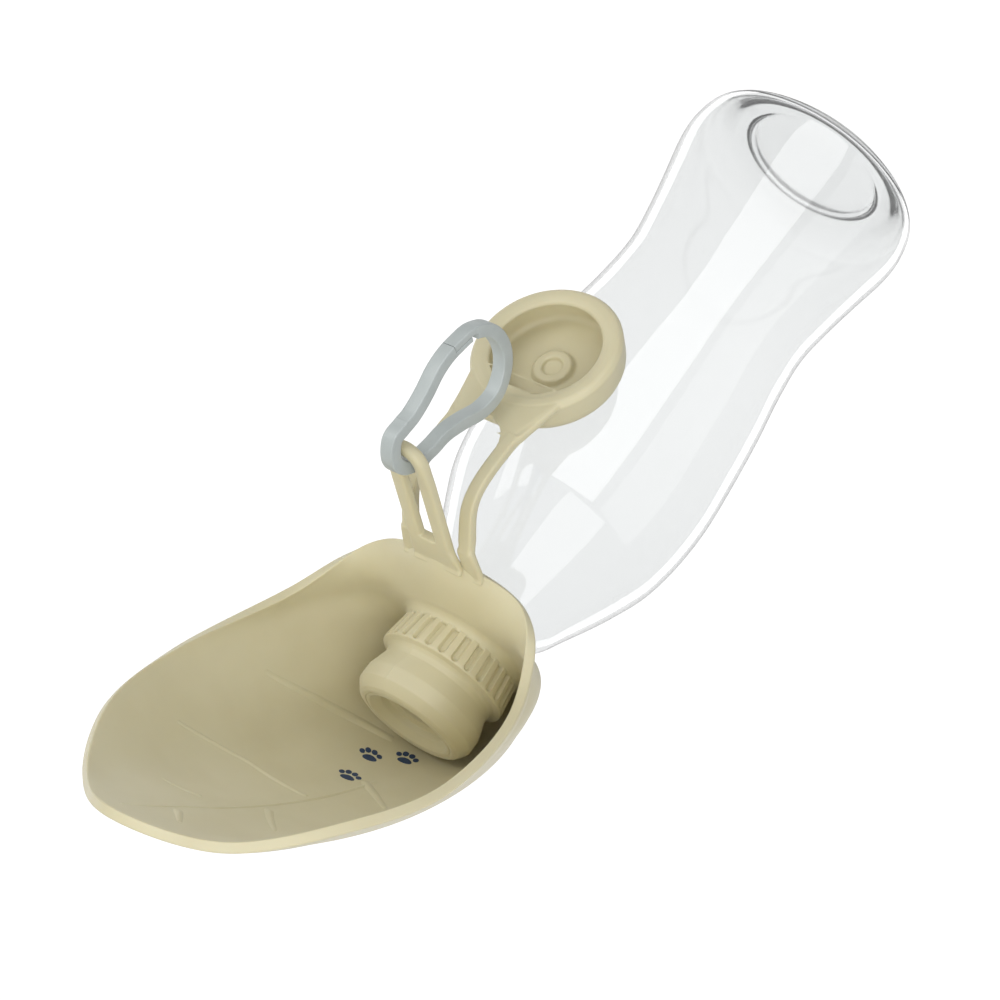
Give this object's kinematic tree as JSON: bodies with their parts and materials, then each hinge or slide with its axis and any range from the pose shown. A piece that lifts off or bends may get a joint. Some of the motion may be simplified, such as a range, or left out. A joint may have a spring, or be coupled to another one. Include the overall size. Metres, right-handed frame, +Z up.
{
  "type": "dog travel water bottle",
  "caption": "Clear waisted water bottle with a soft leaf-shaped drinking bowl screwed on its neck, a strapped snap cap, and a carabiner on a clip loop.",
  "frame": {"origin": "middle of the bottle's foot, on the bottle's axis, on the plane it stands on", "axes": "+Z up the bottle's axis to the spout; -X towards the bowl's open mouth, the strap and the carabiner; the part mirrors about the XZ plane"},
  "size_m": [0.1302, 0.0988, 0.2996],
  "materials": {
    "clear_bottle": "clear gloss plastic, see-through",
    "washer_rubber": "soft, matte",
    "insert_plastic": "moulded, satin",
    "silicone": "soft beige silicone, fine satin",
    "carabiner_plastic": "moulded grey plastic, satin"
  },
  "bodies": {
    "bottle": {"bottle": "clear_bottle"},
    "seal": {"sealing_washer": "washer_rubber"},
    "closure": {"thread_insert": "insert_plastic", "grip_collar": "silicone", "spout": "silicone", "bowl": "silicone"},
    "tether": {"clip_loop": "silicone", "strap": "silicone"},
    "cap": {"cap": "silicone"},
    "carabiner": {"carabiner_body": "carabiner_plastic"},
    "gate": {"carabiner_gate": "carabiner_plastic"}
  },
  "joints": [
    {"name": "closure_lift", "type": "slide", "parent": "bottle", "child": "seal", "axis": [0, 0, 1], "range_m": [0, 0.00525]},
    {"name": "closure_unscrew", "type": "hinge", "parent": "seal", "child": "closure", "pos_m": [0, 0, 0.2], "axis": [0, 0, 1], "range_deg": [0, 450]},
    {"name": "tether_lift", "type": "hinge", "parent": "closure", "child": "tether", "pos_m": [-0.0384, 0, 0.18505], "axis": [0, 1, 0], "range_deg": [0, 90]},
    {"name": "cap_tilt", "type": "hinge", "parent": "tether", "child": "cap", "pos_m": [-0.05811, 0, 0.15206], "axis": [0, 1, 0], "range_deg": [-4, 16], "stiffness_Nm_per_rad": 0.03, "springref_deg": -1.15},
    {"name": "carabiner_swing", "type": "hinge", "parent": "tether", "child": "carabiner", "pos_m": [-0.07993, 0, 0.1758], "axis": [0, 1, 0], "range_deg": [0, 95]},
    {"name": "gate_flex", "type": "hinge", "parent": "carabiner", "child": "gate", "pos_m": [-0.08633, 0, 0.1688], "axis": [0, -1, 0], "range_deg": [0, 20], "stiffness_Nm_per_rad": 0.05, "springref_deg": -2.86}
  ],
  "couplings": [
    {"joint": "closure_lift", "follows": "closure_unscrew", "m_per_rad": 0.00066845}
  ]
}
